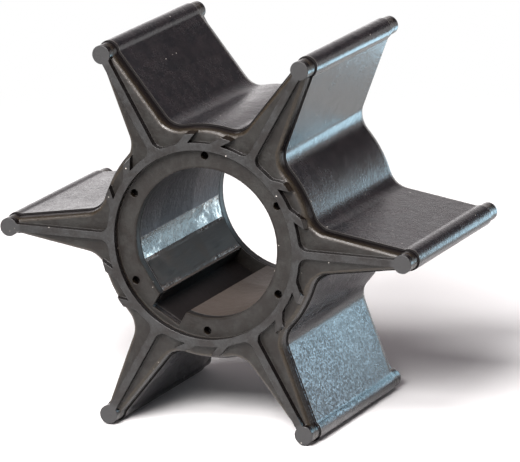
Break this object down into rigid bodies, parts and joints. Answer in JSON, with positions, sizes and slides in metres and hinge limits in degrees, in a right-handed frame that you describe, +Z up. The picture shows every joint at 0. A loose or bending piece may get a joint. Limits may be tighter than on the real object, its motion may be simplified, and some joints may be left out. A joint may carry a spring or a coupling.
{
  "type": "flexible vane pump impeller",
  "caption": "Rubber impeller for a water pump: beaded radial vanes and a ribbed hub moulded round a keyed metal sleeve.",
  "frame": {"origin": "centre of the shaft bore, half way between the two end faces", "axes": "+Y along the shaft axis, from the end face with slanted ribs to the plain one; +X out along one vane; +Z up, so the impeller stands on the beads of its two lower vanes"},
  "size_m": [0.0652, 0.0336, 0.0568],
  "materials": {
    "rubber": "moulded black rubber: dusty, matt and warm grey on the end faces, satin on the vanes",
    "sleeve_metal": "semi-gloss drawn metal"
  },
  "bodies": {
    "root": {"rubber_body": "rubber", "drive_sleeve": "sleeve_metal"}
  },
  "joints": []
}
